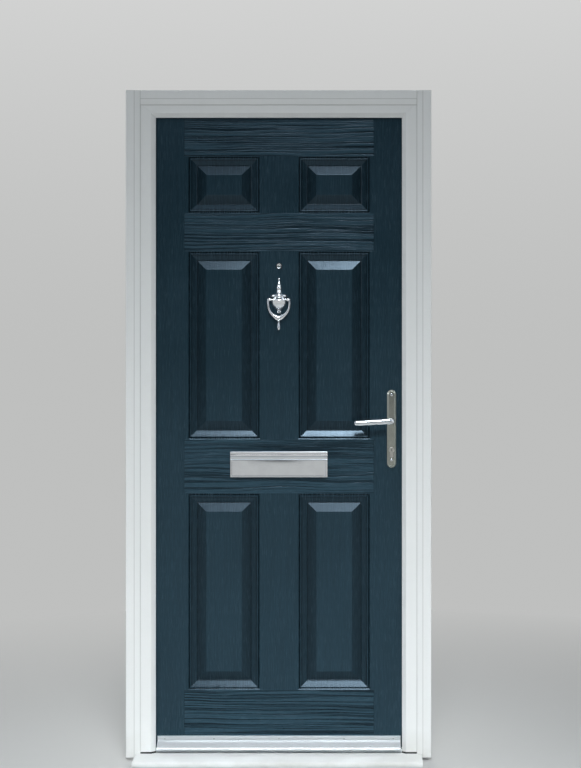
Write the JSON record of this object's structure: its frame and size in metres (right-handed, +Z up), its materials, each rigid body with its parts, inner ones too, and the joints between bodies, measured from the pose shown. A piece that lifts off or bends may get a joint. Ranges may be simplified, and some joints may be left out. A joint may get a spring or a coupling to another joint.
{
  "type": "panelled front door with frame",
  "caption": "Six-panel composite front door leaf hinged in a white frame with cill, trims, weather bar, letterplate, knocker, viewer, lever handles and a multipoint lock.",
  "frame": {"origin": "underside of the cill, on the door's centre line, in the plane of the frame's outer face", "axes": "+X to the right seen from outside, towards the lock side; +Y from outside to inside; +Z up"},
  "size_m": [0.972, 0.201, 2.133],
  "materials": {
    "upvc_white": "satin white uPVC",
    "rubber_black": "matt black",
    "aluminium": "brushed anodised",
    "steel": "zinc plated",
    "hinge_white": "white powder coat",
    "skin_dark": "embossed wood grain, anthracite",
    "skin_white": "embossed wood grain, white",
    "foam": "rigid foam",
    "timber": "laminated timber",
    "chrome": "polished",
    "sleeve_plastic": "black moulding",
    "lens_glass": "clear"
  },
  "bodies": {
    "frame": {"cill": "upvc_white", "cill_end_caps": "upvc_white", "threshold": "aluminium", "hinge_jamb": "upvc_white", "lock_jamb": "upvc_white", "head_bar": "upvc_white", "frame_reinforcement": "steel", "frame_gasket": "rubber_black", "left_trim": "upvc_white", "right_trim": "upvc_white", "head_trim": "upvc_white", "hinge_frame_leaves": "hinge_white", "hinge_pins": "steel", "frame_screws": "steel", "hook_keeps": "steel", "centre_keep": "steel"},
    "leaf": {"bottom_seal": "rubber_black", "weather_bar": "aluminium", "weather_bar_end_caps": "aluminium", "weather_bar_screws": "steel", "door_screws": "steel", "through_bolts": "steel", "lock_faceplate": "steel", "lock_case": "steel", "hook_cases": "steel", "cylinder_screw": "steel", "flap_pins": "steel", "hinge_door_leaves": "hinge_white", "outer_skin": "skin_dark", "inner_skin": "skin_white", "foam_core": "foam", "hinge_stile": "timber", "lock_stile": "timber", "top_rail": "timber", "bottom_rail": "timber", "outer_backplate": "chrome", "inner_backplate": "chrome", "letterplate_outer_frame": "chrome", "letterplate_inner_frame": "chrome", "knocker_body": "chrome", "knocker_strike": "chrome", "viewer_outer_tube": "chrome", "viewer_inner_tube": "chrome", "cylinder_body": "chrome", "letterplate_sleeve": "sleeve_plastic", "viewer_lenses": "lens_glass"},
    "lever_set": {"outer_lever": "chrome", "inner_lever": "chrome", "spindle": "steel", "lock_hub": "steel"},
    "latch": {"latch_bolt": "steel"},
    "rail": {"drive_rail": "steel"},
    "bolt": {"deadbolt": "steel"},
    "hook_upper": {"upper_hook": "steel"},
    "hook_lower": {"lower_hook": "steel"},
    "key_plug": {"outer_plug": "chrome"},
    "thumb_plug": {"thumbturn": "chrome"},
    "flap_outside": {"outer_flap": "chrome"},
    "flap_inside": {"inner_flap": "chrome"},
    "ring": {"knocker_ring": "chrome"}
  },
  "joints": [
    {"name": "leaf_swing", "type": "hinge", "parent": "frame", "child": "leaf", "pos_m": [-0.4075, 0.079, 0], "axis": [0, 0, 1], "range_deg": [0, 95]},
    {"name": "lever_turn", "type": "hinge", "parent": "leaf", "child": "lever_set", "pos_m": [0.36, 0.047, 1.08], "axis": [0, 1, 0], "range_deg": [-35, 45], "stiffness_Nm_per_rad": 6, "springref_deg": 2.86},
    {"name": "latch_slide", "type": "slide", "parent": "leaf", "child": "latch", "axis": [1, 0, 0], "range_m": [0, 0.012]},
    {"name": "rail_slide", "type": "slide", "parent": "leaf", "child": "rail", "axis": [0, 0, 1], "range_m": [0, 0.018]},
    {"name": "deadbolt_slide", "type": "slide", "parent": "leaf", "child": "bolt", "axis": [1, 0, 0], "range_m": [0, 0.02]},
    {"name": "lower_hook_turn", "type": "hinge", "parent": "leaf", "child": "hook_lower", "pos_m": [0.385, 0.047, 0.45], "axis": [0, -1, 0], "range_deg": [0, 90]},
    {"name": "upper_hook_turn", "type": "hinge", "parent": "leaf", "child": "hook_upper", "pos_m": [0.385, 0.047, 1.65], "axis": [0, -1, 0], "range_deg": [0, 90]},
    {"name": "key_turn", "type": "hinge", "parent": "leaf", "child": "key_plug", "pos_m": [0.36, 0.02, 0.988], "axis": [0, 1, 0], "continuous": true},
    {"name": "thumbturn_turn", "type": "hinge", "parent": "leaf", "child": "thumb_plug", "pos_m": [0.36, 0.07, 0.988], "axis": [0, 1, 0], "continuous": true},
    {"name": "outer_flap_lift", "type": "hinge", "parent": "leaf", "child": "flap_outside", "pos_m": [0, 0.016, 0.9535], "axis": [-1, 0, 0], "range_deg": [0, 80], "stiffness_Nm_per_rad": 0.1, "springref_deg": -22.92},
    {"name": "inner_flap_lift", "type": "hinge", "parent": "leaf", "child": "flap_inside", "pos_m": [0, 0.078, 0.9535], "axis": [1, 0, 0], "range_deg": [0, 80], "stiffness_Nm_per_rad": 0.1, "springref_deg": -22.92},
    {"name": "ring_lift", "type": "hinge", "parent": "leaf", "child": "ring", "pos_m": [0, 0.011, 1.468], "axis": [-1, 0, 0], "range_deg": [0, 85]}
  ],
  "couplings": [
    {"joint": "deadbolt_slide", "follows": "rail_slide", "ratio": 1.1111},
    {"joint": "lower_hook_turn", "follows": "rail_slide", "rad_per_m": 87.266},
    {"joint": "upper_hook_turn", "follows": "rail_slide", "rad_per_m": 87.266}
  ]
}
